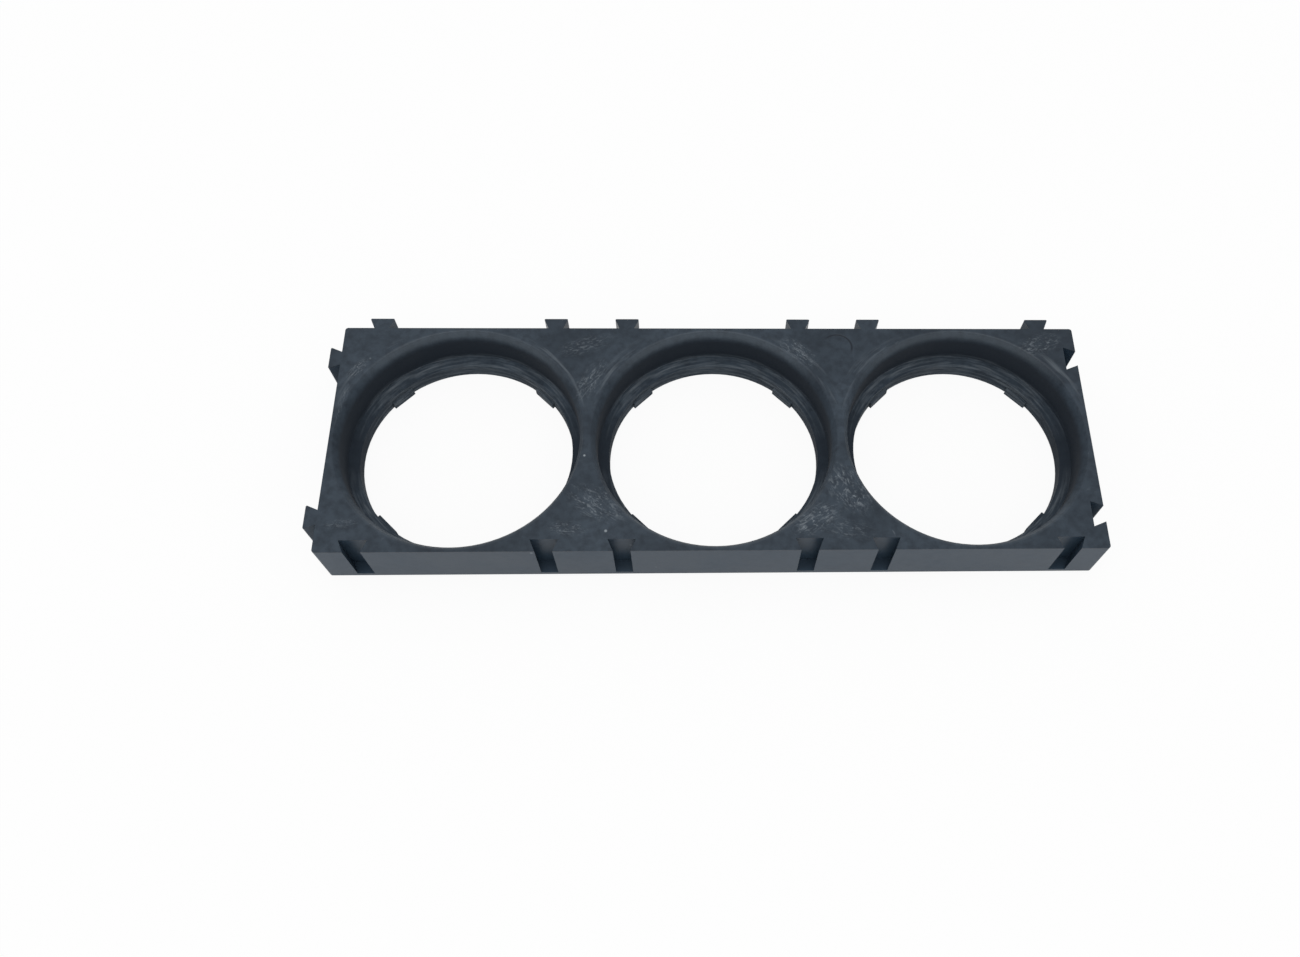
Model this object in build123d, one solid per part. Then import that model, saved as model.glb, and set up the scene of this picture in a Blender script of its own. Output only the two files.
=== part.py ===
from build123d import *
from math import cos, radians, sin
import os

# Snap-together holder for a row of large cylindrical battery cells.
# One injection moulding: a plate with one stepped bore per cell, dovetail keys on
# the back and left sides, and matching dovetail slots in the front and right sides.
# Millimetres, +X along the row, +Y to the back, +Z up. The origin is the middle
# bore's axis on the bottom face.

# Stepped bore: a lead-in, a seat for the cell, and a narrower ring that stops it
cellRadius = 16.1           # of the cell that the holder takes
seatClearance = 0.25        # between the cell and its seat
leadInRadius = 2.4          # bell-mouthed lead-in, tangent to the seat wall
leadInAngle = 45.0          # how far the bell mouth has turned at the top face
rimRound = 0.2              # broken edge where the lead-in meets the top face
ringStep = 1.45             # how far the ring stands in from the seat
ringHeight = 2.1            # of the ring's inner wall
shoulderRise = 0.6          # how much higher the shoulder is at the seat wall
tabCount = 4                # small stops that stand in from the ring
tabWidth = 3.6
tabReach = 0.5
tabHeight = 1.2
tabStartAngle = 45.0

# Row of cells
cellCount = 3
webWidth = 0.894            # between the rims of two neighbours, also of two holders
plateHeight = 8.0
cornerRound = 0.4           # the four upright corners
edgeRound = 0.2             # lower outer edge

# Dovetail joints to the next holder, two for each cell on each side
jointInset = 5.1            # from the edge of a cell's own square to a joint's middle
keyWidth = 3.5              # across the wide outer end of a key
keyReach = 1.6
keyFlare = 0.7              # how much wider each flank is at the outer end
keyCornerRound = 0.15
slotFloor = 0.8             # web left under each slot, which stops the key
slotClearance = 0.12        # all round between a key and its slot

seatRadius = cellRadius + seatClearance
leadInDepth = leadInRadius * sin(radians(leadInAngle))
rimRadius = seatRadius + leadInRadius * (1 - cos(radians(leadInAngle)))
ringRadius = seatRadius - ringStep
cellPitch = 2 * rimRadius + webWidth
jointOffset = cellPitch / 2 - jointInset
cutOver = 1.0               # how far a cutting shape runs past the face it opens
plateLength = cellCount * cellPitch
plateWidth = cellPitch
slotDepth = keyReach + slotClearance
keyHeight = plateHeight - slotFloor - slotClearance


def cellCentres():
    first = -(cellCount - 1) / 2 * cellPitch
    return [first + i * cellPitch for i in range(cellCount)]


def longSideJoints():
    """Places along X of the joints on the front and back sides."""
    return [x + side * jointOffset for x in cellCentres() for side in (-1, 1)]


def plate():
    body = Pos(0, 0, plateHeight / 2) * Box(plateLength, plateWidth, plateHeight)
    body = fillet(body.edges().filter_by(Axis.Z), cornerRound)
    lowest = body.faces().sort_by(Axis.Z)[0]
    return fillet(lowest.outer_wire().edges(), edgeRound)


def boreProfile():
    """Half section of the open space in one bore, from its axis out."""
    mouthStart = (seatRadius, plateHeight - leadInDepth)
    mouth = JernArc(mouthStart, (0, 1), leadInRadius, -leadInAngle)
    above = plateHeight + cutOver
    rest = Polyline(
        mouth @ 1,
        ((mouth @ 1).X, above),
        (0, above),
        (0, -cutOver),
        (ringRadius, -cutOver),
        (ringRadius, ringHeight),
        (seatRadius, ringHeight + shoulderRise),
        mouthStart,
    )
    return Plane.XZ * make_face(Curve([mouth, rest]).edges())


def ringTab():
    """One stop on the ring, whose inner side is flat, as material left in the bore."""
    depth = tabReach + cutOver
    height = tabHeight + 2 * cutOver
    inner = ringRadius - tabReach
    return Pos(inner + depth / 2, 0, tabHeight - height / 2) * Box(depth, tabWidth, height)


def steppedBore():
    """The space that one cell and its ring leave open."""
    space = revolve(boreProfile(), Axis.Z)
    for i in range(tabCount):
        space -= Rot(0, 0, tabStartAngle + i * 360 / tabCount) * ringTab()
    return space


def dovetail(width, reach, flare, root, height):
    """A prism that widens along +Y: root deep into the plate, reach out of it."""
    half = width / 2
    outline = Polyline(
        (-half + flare, -root),
        (-half + flare, 0),
        (-half, reach),
        (half, reach),
        (half - flare, 0),
        (half - flare, -root),
        close=True,
    )
    return extrude(make_face(outline), height)


def key():
    """A key, flush with the top face, with slightly rounded outer corners."""
    body = dovetail(keyWidth, keyReach, keyFlare, cornerRound, keyHeight)
    outer = body.edges().filter_by(Axis.Z).group_by(Axis.Y)[-1]
    body = fillet(outer, keyCornerRound)
    return Pos(0, 0, plateHeight - keyHeight) * body


def slot():
    """The matching space, open at the top, with a web left below it."""
    width = keyWidth + 2 * slotClearance
    space = dovetail(width, slotDepth, keyFlare, 1, plateHeight)
    return Pos(0, 0, slotFloor) * space


def boreRims(body):
    """The round edges where the lead-ins meet the top face."""
    circles = body.edges().filter_by(GeomType.CIRCLE)
    return [edge for edge in circles if abs(edge.radius - rimRadius) < 0.001]


def cellHolder():
    body = plate()
    back = plateWidth / 2
    end = plateLength / 2
    for x in longSideJoints():
        body += Pos(x, back, 0) * key()
        body -= Pos(x, -back, 0) * slot()
    for y in (-jointOffset, jointOffset):
        body += Pos(-end, y, 0) * Rot(0, 0, 90) * key()
        body -= Pos(end, y, 0) * Rot(0, 0, 90) * slot()
    for x in cellCentres():
        body -= Pos(x, 0, 0) * steppedBore()
    return fillet(boreRims(body), rimRound)


os.makedirs("parts", exist_ok=True)
holder = cellHolder()
holder.label = "cell_holder"
export_step(holder, "parts/cell_holder.step")
box = holder.bounding_box()
print("cell_holder", "size", box.size, "volume", round(holder.volume, 1), "solids", len(holder.solids()))
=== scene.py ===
import math

import bpy
from mathutils import Euler, Matrix, Vector


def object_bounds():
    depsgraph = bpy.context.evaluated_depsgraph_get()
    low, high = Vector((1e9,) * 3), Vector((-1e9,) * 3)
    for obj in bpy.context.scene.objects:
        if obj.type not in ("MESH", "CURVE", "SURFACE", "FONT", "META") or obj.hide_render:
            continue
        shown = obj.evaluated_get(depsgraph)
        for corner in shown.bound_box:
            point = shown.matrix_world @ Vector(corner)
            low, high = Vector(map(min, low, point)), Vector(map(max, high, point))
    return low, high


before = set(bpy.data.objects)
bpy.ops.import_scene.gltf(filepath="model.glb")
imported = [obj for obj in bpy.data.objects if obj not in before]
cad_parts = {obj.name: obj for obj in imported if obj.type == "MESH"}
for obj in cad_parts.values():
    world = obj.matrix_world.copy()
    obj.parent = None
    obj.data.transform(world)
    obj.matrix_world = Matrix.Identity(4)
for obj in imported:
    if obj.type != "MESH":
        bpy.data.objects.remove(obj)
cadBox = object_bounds()

# A moulded black holder for a row of battery cells, on a plain white floor.
# The solid is the CAD one; this file gives it its finish, its moulding marks and its light, and paints
# some light and shade onto its sides and into its bores.

mm = 0.001
holderNode = "cell_holder"
topZ = cadBox[1][2]
cellPitch = 35 * mm


def newMaterial(name):
    material = bpy.data.materials.new(name)
    material.use_nodes = True
    material.node_tree.nodes.clear()
    return material, material.node_tree


def addNode(tree, kind, values=None, **settings):
    # Adds a node, sets its properties, and sets or links its inputs.
    node = tree.nodes.new(kind)
    for key, value in settings.items():
        setattr(node, key, value)
    for key, value in (values or {}).items():
        socket = node.inputs[key]
        if isinstance(value, bpy.types.NodeSocket):
            tree.links.new(value, socket)
        else:
            socket.default_value = value
    return node


def calc(tree, operation, first, second=0.0, third=0.0):
    values = {0: first, 1: second, 2: third}
    return addNode(tree, "ShaderNodeMath", values, operation=operation).outputs[0]


def times(tree, product, *others):
    for value in others:
        product = calc(tree, "MULTIPLY", product, value)
    return product


def strongest(tree, shares):
    most = shares[0]
    for share in shares[1:]:
        most = calc(tree, "MAXIMUM", most, share)
    return most


def opposite(tree, share):
    return calc(tree, "SUBTRACT", 1.0, share)


def flatLength(tree, across, along):
    squares = calc(tree, "ADD", times(tree, across, across), times(tree, along, along))
    return calc(tree, "SQRT", squares)


def ramp(tree, value, fromLow, fromHigh, toLow=0.0, toHigh=1.0):
    # Straight from toLow at fromLow to toHigh at fromHigh, and level beyond both.
    values = {0: value, 1: fromLow, 2: fromHigh, 3: toLow, 4: toHigh}
    return addNode(tree, "ShaderNodeMapRange", values).outputs[0]


def band(tree, value, start, full, fade, end):
    # Rises from start to full, stays at 1, and falls from fade to end.
    return times(tree, ramp(tree, value, start, full), ramp(tree, value, end, fade))


def noise(tree, where, scale, detail=3.0, roughness=0.5, distortion=0.0):
    values = {"Vector": where, "Scale": scale, "Detail": detail, "Roughness": roughness,
              "Distortion": distortion}
    return addNode(tree, "ShaderNodeTexNoise", values).outputs["Fac"]


def vector(tree, x, y, z):
    return addNode(tree, "ShaderNodeCombineXYZ", {0: x, 1: y, 2: z}).outputs[0]


def stretched(tree, where, stretch):
    return addNode(tree, "ShaderNodeVectorMath", {0: where, 1: stretch}, operation="MULTIPLY").outputs[0]


def paintOver(tree, colour, share, paint):
    # Lays a paint over a colour, as thickly as its share says.
    return addNode(tree, "ShaderNodeMix", {0: share, 6: colour, 7: paint}, data_type="RGBA").outputs[2]


def srgb(red, green, blue):
    # A colour as a screen shows it, 0 to 255, made linear.
    parts = [c / 255 for c in (red, green, blue)]
    return [c / 12.92 if c <= 0.04045 else ((c + 0.055) / 1.055) ** 2.4 for c in parts] + [1.0]


# Limits are given as (nothing, full), and bands as (nothing, full, full, nothing).
# A noise is given as scale, detail, roughness and distortion.
paints = {
    "base": srgb(40, 50, 60),
    "cloud": srgb(56, 67, 78),
    # dark paint for pits and the pin mark, also used as painted shade in the bores
    "darkAndShade": srgb(23, 32, 42),
    # painted light: a paler paint for the outer sides
    "paintedSideLight": srgb(46, 64, 80),
    # scuff paint for scuffs and rubs, also used as painted highlight on the lips and the ring
    "scuffAndHighlight": srgb(126, 134, 141),
    "speck": srgb(176, 184, 190),
}
faces = {
    "rimRadius": 17.05 * mm,                            # of a bore's mouth, at the top face
    "topEdge": (topZ - 0.25 * mm, topZ - 0.05 * mm),
    "bottomEdge": (0.02 * mm, 0.2 * mm),
    "boreEdge": (0.4 * mm, 0.0),                        # outwards from the rim
    "paintedSideLightThickness": 0.6,
}


def holderPlaces(tree):
    # Where a point lies on the holder, from its own coordinates.
    where = addNode(tree, "ShaderNodeTexCoord").outputs["Object"]
    x, y, z = addNode(tree, "ShaderNodeSeparateXYZ", {0: where}).outputs
    across = calc(tree, "WRAP", x, cellPitch / 2, -cellPitch / 2)
    return {
        "where": where, "x": x, "y": y, "z": z,
        "depth": calc(tree, "ABSOLUTE", y),                 # from the row's middle line
        "top": ramp(tree, z, *faces["topEdge"]),            # 1 on the top face
        "raised": ramp(tree, z, *faces["bottomEdge"]),      # 0 on the underside
        "rim": calc(tree, "SUBTRACT", flatLength(tree, across, y), faces["rimRadius"]),
        "angle": calc(tree, "ARCTAN2", y, across),          # round the nearest bore
        "bore": calc(tree, "FLOOR", calc(tree, "ADD", calc(tree, "DIVIDE", x, cellPitch), 0.5)),
    }


def roundBore(tree, place, outwards, turning, last):
    # A place that follows the nearest bore, for patterns that run round it.
    return vector(tree, times(tree, place["rim"], outwards), times(tree, place["angle"], turning), last)


def outerSides(tree, place):
    # Every face but the top one and those inside the bores. These faces are painted paler, as painted
    # light.
    inBore = times(tree, ramp(tree, place["rim"], *faces["boreEdge"]), place["raised"])
    return times(tree, opposite(tree, place["top"]), opposite(tree, inBore))


pin = {
    "x": 17.9 * mm,
    "y": 14.3 * mm,
    "radius": 2.1 * mm,
    "line": (0.2 * mm, 0.06 * mm),      # away from the circle
    "fade": (0.2 * mm, 1.6 * mm),
    "fadeSlope": 1.6,
    "height": 2.0,
}


def pinMark(tree, place):
    # An ejector pin's mark: a thin ring that fades out at its front left.
    dx = calc(tree, "SUBTRACT", place["x"], pin["x"])
    dy = calc(tree, "SUBTRACT", place["y"], pin["y"])
    off = calc(tree, "ABSOLUTE", calc(tree, "SUBTRACT", flatLength(tree, dx, dy), pin["radius"]))
    backRight = calc(tree, "ADD", dx, times(tree, dy, pin["fadeSlope"]))
    return times(tree, ramp(tree, off, *pin["line"]), ramp(tree, backRight, *pin["fade"]), place["top"])


scuffs = {
    "thickness": 0.8,
    "height": 0.5,
    "roughness": 0.1,                   # added to the plastic's own
    "edge": (1.15, 0.5),                # in half sizes, from the middle of a patch
    "lineNoise": (2.3, 6, 0.68, 0.5),
    "lineStretch": (1, 2.6, 1),
    "lineSets": ((0.0, 0.55), (1.0, 0.57)),     # the turn of the lines, and where they start
    "lineSoftness": 0.15,
    "blotchNoise": (4.6, 5, 0.68, 0.3),
    "blotches": (0.54, 0.68),
    "strayNoise": (700, 4, 0.65, 0.8),
    "strays": (0.64, 0.74),
    "strayPatches": (0.48, 0.64),
    "strayStrength": 0.3,
    "sliceStep": 5 * mm,                # each patch takes its own slice of the noise
    # middle, half length, half breadth, direction and strength
    "patches": {
        "rightWebFront": (18.0, -8.4, 4.4, 2.6, -0.95, 1.0),
        "rightWebCorner": (13.4, -13.0, 3.6, 1.9, 0.50, 1.0),
        "rightWebMiddle": (17.6, -14.4, 3.6, 1.6, -0.20, 0.45),
        "leftWebFront": (-15.8, -10.6, 4.4, 2.3, -0.50, 0.85),
        "leftWebCorner": (-19.6, -14.2, 2.6, 1.1, -0.10, 0.70),
        "leftWebMiddle": (-17.4, 8.6, 3.8, 1.5, 1.05, 0.80),
        "leftWebBack": (-18.2, 14.6, 4.0, 1.5, 0.30, 0.55),
        "leftEndBack": (-50.0, 10.6, 2.0, 0.8, 0.95, 1.0),
        "leftEndMiddle": (-51.4, 5.0, 3.4, 0.5, 1.45, 0.60),
        "leftEndFront": (-49.2, -13.4, 2.2, 0.7, 0.10, 0.70),
        "rightWebBack": (12.2, 13.4, 3.4, 1.6, -0.75, 0.80),
        "rightEndBack": (47.4, 14.8, 3.4, 1.8, 0.35, 0.70),
    },
}


def scuffPatch(tree, where, noiseSlice, patch):
    # An oval that fades out, filled with fine lines in two directions and a few blotches.
    x, y, along, across, angle, strength = patch
    values = {"Vector": where, "Location": (x * mm, y * mm, topZ - noiseSlice), "Rotation": (0, 0, angle),
              "Scale": (along * mm, across * mm, mm)}
    local = addNode(tree, "ShaderNodeMapping", values, vector_type="TEXTURE").outputs[0]
    flat = stretched(tree, local, (1, 1, 0))
    fromMiddle = addNode(tree, "ShaderNodeVectorMath", {0: flat}, operation="LENGTH").outputs["Value"]
    marks = []
    for turn, start in scuffs["lineSets"]:
        values = {"Vector": local, "Rotation": (0, 0, turn), "Location": (turn, 0, 0)}
        turned = addNode(tree, "ShaderNodeMapping", values).outputs[0]
        lines = noise(tree, stretched(tree, turned, scuffs["lineStretch"]), *scuffs["lineNoise"])
        marks.append(ramp(tree, lines, start, start + scuffs["lineSoftness"]))
    marks.append(ramp(tree, noise(tree, local, *scuffs["blotchNoise"]), *scuffs["blotches"]))
    return times(tree, strongest(tree, marks), ramp(tree, fromMiddle, *scuffs["edge"]), strength)


def scuffMarks(tree, place, patchy):
    # The rubbed patches, and faint stray marks between them.
    marks = []
    for number, patch in enumerate(scuffs["patches"].values()):
        marks.append(scuffPatch(tree, place["where"], number * scuffs["sliceStep"], patch))
    stray = ramp(tree, noise(tree, place["where"], *scuffs["strayNoise"]), *scuffs["strays"])
    strayPatches = ramp(tree, patchy, *scuffs["strayPatches"])
    marks.append(times(tree, stray, strayPatches, scuffs["strayStrength"]))
    return times(tree, strongest(tree, marks), place["top"])


rubs = {
    "thickness": 0.27,
    "stretch": (1400, 2.2, 7.3),                            # outwards, round a bore, and from bore to bore
    "noise": (1.0, 3, 0.6),
    "arcs": (0.50, 0.68),
    "reach": (0.05 * mm, 0.4 * mm, 0.9 * mm, 2.2 * mm),     # outwards from the rim
    "depth": (3 * mm, 8 * mm, 14 * mm, 16.5 * mm),          # back from the row's middle line
}


def rimRubs(tree, place):
    # Pale arcs just outside the rims, on the back half.
    outwards, turning, apart = rubs["stretch"]
    around = roundBore(tree, place, outwards, turning, times(tree, place["bore"], apart))
    arcs = ramp(tree, noise(tree, around, *rubs["noise"]), *rubs["arcs"])
    nearRim = band(tree, place["rim"], *rubs["reach"])
    return times(tree, arcs, nearRim, band(tree, place["y"], *rubs["depth"]), place["top"])


bores = {
    "roughness": 0.8,
    "roughReach": (0.1 * mm, -0.5 * mm),                    # reaches are outwards from the rim
    "inside": (-0.4 * mm, -0.65 * mm),
    # the seat's painted shade
    "seatHeights": (2.6 * mm, 3.4 * mm, 6.2 * mm, 7.4 * mm),
    "seatThickness": 0.95,
    "ringHeights": (3.6 * mm, 2.6 * mm),
    # the ring's painted shade at its left and right
    "ringShadeThickness": 0.75,
    # the pale ring lines: partly streaks, partly painted light
    "paleRingDepth": (2 * mm, 9 * mm),                      # depths are from the row's middle line
    "lineStretch": (2600, 3.0, 2600),                       # outwards, round a bore, and upwards
    "lineNoise": (1.0, 3, 0.6),
    "lines": (0.44, 0.70),
    "lineThickness": 0.42,
    # the lip's painted highlight
    "lipHighlightReach": (-0.68 * mm, -0.45 * mm, -0.2 * mm, 0.3 * mm),
    "lipHighlightDepth": (8 * mm, 13 * mm),
    "lipHighlightThickness": 0.16,
}


def borePaintedLightAndMarks(tree, place):
    # Painted light and shade in the bores. The seat is painted darker, as painted shade. The ring is
    # painted dark at its left and right, as painted shade, and has pale lines round it at the front and
    # the back, partly streaks and partly painted light, where the lip of the mouth is a little paler too,
    # as a painted highlight.
    inside = ramp(tree, place["rim"], *bores["inside"])
    ring = times(tree, inside, ramp(tree, place["z"], *bores["ringHeights"]), place["raised"])
    paleRing = times(tree, ring, ramp(tree, place["depth"], *bores["paleRingDepth"]))
    outwards, turning, upwards = bores["lineStretch"]
    around = roundBore(tree, place, outwards, turning, times(tree, place["z"], upwards))
    lines = ramp(tree, noise(tree, around, *bores["lineNoise"]), *bores["lines"])
    lipHighlight = band(tree, place["rim"], *bores["lipHighlightReach"])
    return {
        "seat": times(tree, inside, band(tree, place["z"], *bores["seatHeights"])),
        "ringShade": calc(tree, "SUBTRACT", ring, paleRing),
        "ringStreaksAndPaintedLight": times(tree, lines, paleRing),
        "lipHighlight": times(tree, lipHighlight, ramp(tree, place["depth"], *bores["lipHighlightDepth"])),
        "rough": times(tree, ramp(tree, place["rim"], *bores["roughReach"]), place["raised"]),
    }


specks = {
    "scale": 620.0,
    "size": (0.16, 0.08),           # in cells of the pattern
    "chosen": (0.980, 0.985),       # only the few cells whose chance number is above this
    "patches": (0.46, 0.54),
    "thickness": 0.8,
}


def dustSpecks(tree, place, patchy):
    # Pin-prick specks of dust and nicks.
    values = {"Vector": place["where"], "Scale": specks["scale"]}
    cells = addNode(tree, "ShaderNodeTexVoronoi", values, feature="F1")
    chance = addNode(tree, "ShaderNodeSeparateColor", {0: cells.outputs["Color"]}).outputs[0]
    dots = ramp(tree, cells.outputs["Distance"], *specks["size"])
    return times(tree, dots, ramp(tree, chance, *specks["chosen"]), ramp(tree, patchy, *specks["patches"]))


plastic = {
    "roughness": 0.36,
    "specular": 0.25,
    "refraction": 1.5,
    "cloudNoise": (95, 5, 0.62, 0.4),
    "clouds": (0.36, 0.66),
    "cloudThickness": 0.9,
    "cloudRoughness": (0.3, 0.7, -0.05, 0.06),      # limits of the noise, and what each adds
    "pitNoise": (900, 3, 0.6),
    "pits": (0.40, 0.70),
    "pitThickness": 0.55,
    "pitHeight": 0.35,
    "grainNoise": (4200, 2, 0.5),
    "grainHeight": 0.25,
    "patchNoise": (120, 2, 0.5),                    # where specks and stray marks gather
    "bumpStrength": 0.35,
    "bumpDepth": 0.06 * mm,
}


def plasticMaterial():
    material, tree = newMaterial("black_abs")
    place = holderPlaces(tree)
    clouds = noise(tree, place["where"], *plastic["cloudNoise"])
    pits = noise(tree, place["where"], *plastic["pitNoise"])
    grain = noise(tree, place["where"], *plastic["grainNoise"])
    patchy = noise(tree, place["where"], *plastic["patchNoise"])
    scuffed = scuffMarks(tree, place, patchy)
    rubbed = rimRubs(tree, place)
    bore = borePaintedLightAndMarks(tree, place)
    pinRing = pinMark(tree, place)

    layers = (
        (ramp(tree, clouds, *plastic["clouds"]), plastic["cloudThickness"], "cloud"),
        (ramp(tree, pits, *plastic["pits"]), plastic["pitThickness"], "darkAndShade"),
        # painted light: the outer sides are painted paler
        (outerSides(tree, place), faces["paintedSideLightThickness"], "paintedSideLight"),
        # painted shade: the seat is painted darker
        (bore["seat"], bores["seatThickness"], "darkAndShade"),
        # painted shade: the ring is painted dark at its left and right
        (bore["ringShade"], bores["ringShadeThickness"], "darkAndShade"),
        # pale lines on the ring: partly streaks, partly painted light
        (bore["ringStreaksAndPaintedLight"], bores["lineThickness"], "scuffAndHighlight"),
        # painted highlight: the lip of the mouth is painted paler at front and back
        (bore["lipHighlight"], bores["lipHighlightThickness"], "scuffAndHighlight"),
        (scuffed, scuffs["thickness"], "scuffAndHighlight"),
        (rubbed, rubs["thickness"], "scuffAndHighlight"),
        (dustSpecks(tree, place, patchy), specks["thickness"], "speck"),
        (pinRing, 1.0, "darkAndShade"),
    )
    colour = paints["base"]
    for share, thickness, paint in layers:
        colour = paintOver(tree, colour, times(tree, share, thickness), paints[paint])

    rough = calc(tree, "ADD", ramp(tree, clouds, *plastic["cloudRoughness"]), plastic["roughness"])
    worn = times(tree, strongest(tree, (scuffed, rubbed)), scuffs["roughness"])
    boreRough = times(tree, bore["rough"], bores["roughness"] - plastic["roughness"])
    rough = calc(tree, "ADD", calc(tree, "ADD", rough, worn), boreRough)

    height = times(tree, pits, plastic["pitHeight"])
    height = calc(tree, "ADD", height, times(tree, grain, plastic["grainHeight"]))
    height = calc(tree, "ADD", height, times(tree, scuffed, scuffs["height"]))
    height = calc(tree, "SUBTRACT", height, times(tree, pinRing, pin["height"]))
    bump = addNode(tree, "ShaderNodeBump", {"Height": height, "Strength": plastic["bumpStrength"],
                                            "Distance": plastic["bumpDepth"]})

    shader = addNode(tree, "ShaderNodeBsdfPrincipled", {
        "Base Color": colour, "Roughness": rough, "Normal": bump.outputs[0],
        "IOR": plastic["refraction"], "Specular IOR Level": plastic["specular"]})
    addNode(tree, "ShaderNodeOutputMaterial", {0: shader.outputs[0]})
    return material


def dressHolder():
    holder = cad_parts[holderNode]
    holder.data.materials.clear()
    holder.data.materials.append(plasticMaterial())
    print("holder dressed")


stage = {
    "floorSize": 3.0,
    "floorGap": 0.02 * mm,
    "floorShade": 0.9,      # as the camera sees it
    "bounceShade": 0.85,    # as other surfaces are lit by it
    "whiteShare": 0.91,     # how much of the floor the camera sees as plain white
    "glossShare": 0.60,     # the same for what the plastic mirrors
    "worldStrength": 0.78,
}
lamps = {
    "overhead": {"place": (-0.05, -0.08, 0.80), "size": (0.5, 0.4), "watts": 1.5},
}
photoView = {
    "place": (-3.32 * mm, -72.27 * mm, 134.46 * mm),
    "turn": (155.941, -1.986, -0.300),     # world to lens, in degrees
    "lens": 29.1,
    "shiftX": -0.0595,
    "shiftY": 0.0462,
    "clipStart": 5 * mm,
}


def floorMaterial():
    # White paint that takes the holder's shadow, mixed with plain white for what the camera
    # sees and for what the plastic mirrors.
    material, tree = newMaterial("white_floor")
    path = addNode(tree, "ShaderNodeLightPath")
    camera = path.outputs["Is Camera Ray"]
    seen = strongest(tree, (camera, path.outputs["Is Transmission Ray"]))
    seenShare = times(tree, seen, stage["whiteShare"])
    glossShare = times(tree, path.outputs["Is Glossy Ray"], stage["glossShare"])
    shade = ramp(tree, camera, 0.0, 1.0, stage["bounceShade"], stage["floorShade"])
    paint = addNode(tree, "ShaderNodeBsdfDiffuse", {"Color": shade}).outputs[0]
    white = addNode(tree, "ShaderNodeEmission", {"Color": (1, 1, 1, 1), "Strength": 1.0}).outputs[0]
    share = strongest(tree, (seenShare, glossShare))
    fromAbove = addNode(tree, "ShaderNodeMixShader", {0: share, 1: paint, 2: white}).outputs[0]
    # from below the floor is clear, so that the holder's underside can be looked at
    below = addNode(tree, "ShaderNodeNewGeometry").outputs["Backfacing"]
    clear = addNode(tree, "ShaderNodeBsdfTransparent").outputs[0]
    oneWay = addNode(tree, "ShaderNodeMixShader", {0: below, 1: fromAbove, 2: clear}).outputs[0]
    addNode(tree, "ShaderNodeOutputMaterial", {0: oneWay})
    return material


def makeFloor():
    half = stage["floorSize"] / 2
    corners = [(-half, -half, 0), (half, -half, 0), (half, half, 0), (-half, half, 0)]
    mesh = bpy.data.meshes.new("floor")
    mesh.from_pydata(corners, [], [(0, 1, 2, 3)])
    floor = bpy.data.objects.new("floor", mesh)
    bpy.context.collection.objects.link(floor)
    floor.location.z = cadBox[0][2] - stage["floorGap"]
    mesh.materials.append(floorMaterial())
    print("floor made")


def makeWorld():
    world = bpy.data.worlds.new("studio")
    bpy.context.scene.world = world
    world.use_nodes = True
    tree = world.node_tree
    tree.nodes.clear()
    path = addNode(tree, "ShaderNodeLightPath")
    seen = strongest(tree, (path.outputs["Is Camera Ray"], path.outputs["Is Transmission Ray"]))
    strength = ramp(tree, seen, 0.0, 1.0, stage["worldStrength"], 1.0)
    sky = addNode(tree, "ShaderNodeBackground", {"Color": (1, 1, 1, 1), "Strength": strength})
    addNode(tree, "ShaderNodeOutputWorld", {0: sky.outputs[0]})


def makeLamps():
    for name, lamp in lamps.items():
        light = bpy.data.lights.new(name, "AREA")
        light.shape = "RECTANGLE"
        light.size, light.size_y = lamp["size"]
        light.energy = lamp["watts"]
        lampObject = bpy.data.objects.new(name, light)
        bpy.context.collection.objects.link(lampObject)
        lampObject.location = lamp["place"]
        lampObject.rotation_euler = (-Vector(lamp["place"])).to_track_quat("-Z", "Y").to_euler()
    print("world and lamps made")


def makeCamera():
    camera = bpy.data.cameras.new("camera")
    camera.lens = photoView["lens"]
    camera.shift_x = photoView["shiftX"]
    camera.shift_y = photoView["shiftY"]
    camera.clip_start = photoView["clipStart"]
    cameraObject = bpy.data.objects.new("camera", camera)
    bpy.context.collection.objects.link(cameraObject)
    # the turn is for a lens that looks along +Z with Y down, and Blender's looks along -Z
    toLens = Euler([math.radians(a) for a in photoView["turn"]], "XYZ").to_matrix()
    flip = Matrix(((1, 0, 0), (0, -1, 0), (0, 0, -1)))
    turn = (flip @ toLens).transposed()
    cameraObject.matrix_world = Matrix.Translation(photoView["place"]) @ turn.to_4x4()
    bpy.context.scene.camera = cameraObject
    print("camera placed")


bpy.context.scene.view_settings.view_transform = "Standard"
makeFloor()
makeWorld()
makeLamps()
makeCamera()
dressHolder()
